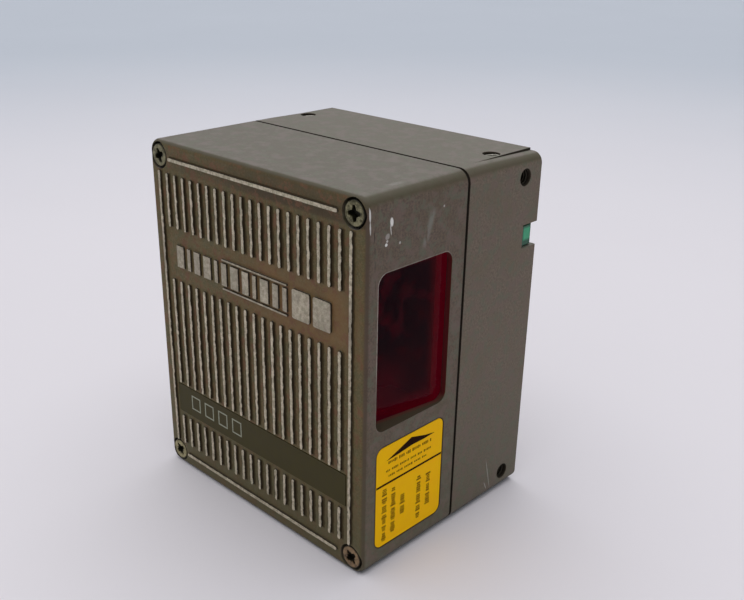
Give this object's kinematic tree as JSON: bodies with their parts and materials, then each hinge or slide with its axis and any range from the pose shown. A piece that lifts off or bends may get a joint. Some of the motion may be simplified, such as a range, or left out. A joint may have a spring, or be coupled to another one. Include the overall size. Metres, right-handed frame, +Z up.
{
  "type": "laser line scanner module",
  "caption": "Fixed-mount laser line scanner in a ribbed die-cast housing, with a side window, a spinning polygon mirror and a rear connector.",
  "frame": {"origin": "middle of the underside of the box around the whole module", "axes": "+X is the side with the scan window and the label, +Y the rear with the connector, +Z up; the ribbed front faces -Y"},
  "size_m": [0.084, 0.0672, 0.102],
  "materials": {
    "housing_paint": "hammered olive-grey stoving paint on die-cast alloy",
    "seal_rubber": "matte black",
    "screw_steel": "yellow-passivated zinc plating",
    "plain_steel": "turned",
    "bearing_steel": "ground",
    "brass": "turned",
    "red_glass": "polished, dyed deep red",
    "label_yellow": "printed polyester film",
    "strip_dark": "printed polyester film",
    "green_lens": "clear green, polished",
    "machined_aluminium": "milled",
    "black_aluminium": "black anodised",
    "steel_sheet": "zinc plated",
    "mirror_coat": "front-coated",
    "lens_glass": "coated",
    "filter_glass": "interference coated",
    "magnet_ferrite": "ground ferrite",
    "lamination": "varnished lamination stack",
    "copper_wire": "enamelled copper wire",
    "board_green": "solder mask",
    "chip_black": "moulded epoxy",
    "can_aluminium": "drawn cans",
    "header_cream": "moulded nylon",
    "insulator_black": "moulded",
    "tinned_shell": "tinned",
    "gold_pin": "gold flashed",
    "flex_amber": "polyimide film"
  },
  "bodies": {
    "chassis": {"bearing_outer_rings": "bearing_steel", "bearing_tube": "brass", "board_capacitors": "can_aluminium", "board_chips": "chip_black", "board_headers": "header_cream", "board_standoffs": "brass", "collector_bracket": "black_aluminium", "collector_mirror": "mirror_coat", "collimator_lens": "lens_glass", "connector_insulator": "insulator_black", "connector_jackscrews": "plain_steel", "connector_pins": "gold_pin", "connector_shell": "tinned_shell", "fold_mirror": "mirror_coat", "fold_mirror_post": "black_aluminium", "front_housing": "housing_paint", "front_screw_washers": "screw_steel", "front_screws": "screw_steel", "housing_gasket": "seal_rubber", "laser_barrel": "brass", "laser_clamp_screw": "screw_steel", "laser_diode": "gold_pin", "laser_driver_board": "board_green", "laser_flex": "flex_amber", "laser_mount": "black_aluminium", "m25_screws": "screw_steel", "m3_screws": "screw_steel", "main_board": "board_green", "motor_flex": "flex_amber", "motor_plate": "steel_sheet", "name_strip": "strip_dark", "optical_bench": "machined_aluminium", "photodiode": "insulator_black", "rear_cover": "housing_paint", "rear_cover_gasket": "seal_rubber", "rear_cover_screws": "screw_steel", "rear_housing": "housing_paint", "receiver_board": "board_green", "receiver_filter": "filter_glass", "receiver_flex": "flex_amber", "receiver_holder": "black_aluminium", "scan_window": "red_glass", "side_label": "label_yellow", "stator_core": "lamination", "stator_windings": "copper_wire", "status_led": "green_lens", "status_light_pipe": "green_lens", "window_gasket": "seal_rubber", "window_retainer": "steel_sheet"},
    "rotor": {"polygon_mirror": "mirror_coat", "polygon_hub": "machined_aluminium", "polygon_clamp": "plain_steel", "polygon_clamp_screws": "screw_steel", "rotor_cup": "steel_sheet", "rotor_magnet": "magnet_ferrite", "motor_shaft": "bearing_steel", "bearing_inner_rings": "bearing_steel"},
    "ball_sets": {"bearing_balls": "bearing_steel"}
  },
  "joints": [
    {"name": "polygon_spin", "type": "hinge", "parent": "chassis", "child": "rotor", "pos_m": [-0.012, -0.01565, 0.074], "axis": [0, 1, 0], "continuous": true},
    {"name": "ball_orbit", "type": "hinge", "parent": "chassis", "child": "ball_sets", "pos_m": [-0.012, -0.00245, 0.074], "axis": [0, 1, 0], "continuous": true}
  ],
  "couplings": [
    {"joint": "ball_orbit", "follows": "polygon_spin", "ratio": 0.3691}
  ]
}
